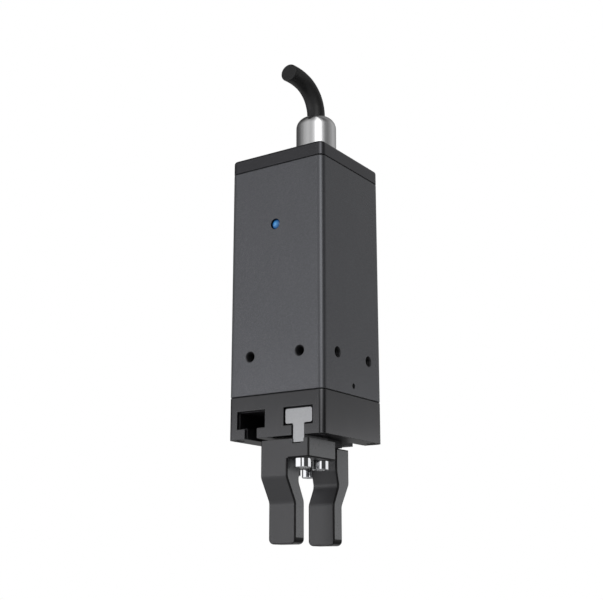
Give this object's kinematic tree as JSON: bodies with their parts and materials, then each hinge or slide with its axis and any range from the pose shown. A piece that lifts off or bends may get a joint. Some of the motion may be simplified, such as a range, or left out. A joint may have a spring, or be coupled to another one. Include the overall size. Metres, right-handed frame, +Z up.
{
  "type": "electric two finger gripper",
  "caption": "Slim square-bodied electric parallel gripper: two L-shaped fingers bolted under T-section rails that a hidden rack and pinion drives in opposite directions; cable gland on top.",
  "frame": {"origin": "tool centre point: the middle of the gap between the two finger ends, in the plane of those ends, on the body's vertical centre line", "axes": "+Z up the body's long axis from the finger ends to the cable gland; -Y out of the front face with the status lamp; +X out of the right-hand face with the locating hole; the jaws slide along Y"},
  "size_m": [0.042, 0.042, 0.1895],
  "materials": {
    "base_anodised": "dark grey anodised aluminium, fine bead-blasted",
    "housing_anodised": "dark grey anodised aluminium, satin",
    "cover_anodised": "near-black anodised aluminium, satin",
    "finger_anodised": "dark grey anodised aluminium, satin",
    "rail_steel": "ground steel, satin, with fine grinding lines",
    "chrome_screws": "bright plated steel screws",
    "steel_screws": "plain stainless steel screws",
    "black_screws": "black oxide steel screws",
    "ground_steel": "ground bearing steel",
    "gear_steel": "hardened gear steel",
    "gear_brass": "planet gears in brass",
    "bare_aluminium": "machined aluminium",
    "red_elastomer": "red polyurethane",
    "gearhead_metal": "turned metal",
    "motor_shell": "drawn steel motor can",
    "stator_core": "laminated core with enamelled copper",
    "magnet": "nickel-plated magnet",
    "circuit_board": "green solder mask",
    "black_plastic": "moulded black plastic",
    "brass": "turned brass",
    "blue_lens": "translucent blue lamp lens",
    "gland_nickel": "nickel-plated brass, polished",
    "black_rubber": "black sealing rubber",
    "cable_jacket": "black cable jacket, satin",
    "wire_insulation": "coloured wire insulation",
    "white_plastic": "natural nylon connector"
  },
  "bodies": {
    "root": {"base_block": "base_anodised", "housing": "housing_anodised", "top_cover": "cover_anodised", "cover_screws": "steel_screws", "base_screws": "black_screws", "status_lens": "blue_lens", "gland_body": "gland_nickel", "gland_nut": "gland_nickel", "cover_seal": "black_rubber", "bearing_plate": "bare_aluminium", "bearing_plate_screws": "steel_screws", "stop_pins": "ground_steel", "lower_bearing": "ground_steel", "upper_bearing": "ground_steel", "mount_plate": "bare_aluminium", "mount_plate_screws": "steel_screws", "gearhead_flange": "gearhead_metal", "output_bearing": "ground_steel", "ring_gear": "gearhead_metal", "gearhead_screws": "steel_screws", "motor_can": "motor_shell", "motor_stator": "stator_core", "encoder_board": "circuit_board", "encoder_cover": "black_plastic", "control_board": "circuit_board", "power_board": "circuit_board", "board_spacers": "brass", "board_screws": "steel_screws", "gland_locknut": "gland_nickel", "gland_seal": "black_rubber", "cable_inner": "cable_jacket", "cable_leads": "wire_insulation", "lead_connector": "white_plastic", "cable": "cable_jacket"},
    "front_jaw": {"front_rail": "rail_steel", "front_finger": "finger_anodised", "front_jaw_screws": "chrome_screws"},
    "rear_jaw": {"rear_rail": "rail_steel", "rear_finger": "finger_anodised", "rear_jaw_screws": "chrome_screws"},
    "drive": {"pinion": "gear_steel", "lower_bearing_inner": "ground_steel", "upper_bearing_inner": "ground_steel", "coupling_lower": "bare_aluminium", "coupling_spider": "red_elastomer", "coupling_upper": "bare_aluminium", "output_bearing_inner": "ground_steel", "planet_carrier": "gear_steel"},
    "planet_1": {"planet_1": "gear_brass"},
    "planet_2": {"planet_2": "gear_brass"},
    "planet_3": {"planet_3": "gear_brass"},
    "rotor": {"sun_gear": "gear_steel", "motor_rotor": "ground_steel", "encoder_magnet": "magnet"}
  },
  "joints": [
    {"name": "front_jaw_slide", "type": "slide", "parent": "root", "child": "front_jaw", "axis": [0, 1, 0], "range_m": [0, 0.0098]},
    {"name": "rear_jaw_slide", "type": "slide", "parent": "root", "child": "rear_jaw", "axis": [0, -1, 0], "range_m": [0, 0.0098]},
    {"name": "drive_spin", "type": "hinge", "parent": "root", "child": "drive", "pos_m": [0, 0, 0.0443], "axis": [0, 0, 1], "range_deg": [0, 112.4]},
    {"name": "rotor_spin", "type": "hinge", "parent": "root", "child": "rotor", "pos_m": [0, 0, 0.0833], "axis": [0, 0, 1], "range_deg": [0, 449.4]},
    {"name": "planet_1_spin", "type": "hinge", "parent": "drive", "child": "planet_1", "pos_m": [0.006, 0, 0.0833], "axis": [0, 0, 1], "range_deg": [-337, 0]},
    {"name": "planet_2_spin", "type": "hinge", "parent": "drive", "child": "planet_2", "pos_m": [-0.003, 0.0052, 0.0833], "axis": [0, 0, 1], "range_deg": [-337, 0]},
    {"name": "planet_3_spin", "type": "hinge", "parent": "drive", "child": "planet_3", "pos_m": [-0.003, -0.0052, 0.0833], "axis": [0, 0, 1], "range_deg": [-337, 0]}
  ],
  "couplings": [
    {"joint": "rear_jaw_slide", "follows": "front_jaw_slide", "ratio": 1},
    {"joint": "drive_spin", "follows": "front_jaw_slide", "rad_per_m": 200},
    {"joint": "rotor_spin", "follows": "front_jaw_slide", "rad_per_m": 800},
    {"joint": "planet_1_spin", "follows": "front_jaw_slide", "rad_per_m": -600},
    {"joint": "planet_2_spin", "follows": "front_jaw_slide", "rad_per_m": -600},
    {"joint": "planet_3_spin", "follows": "front_jaw_slide", "rad_per_m": -600}
  ]
}
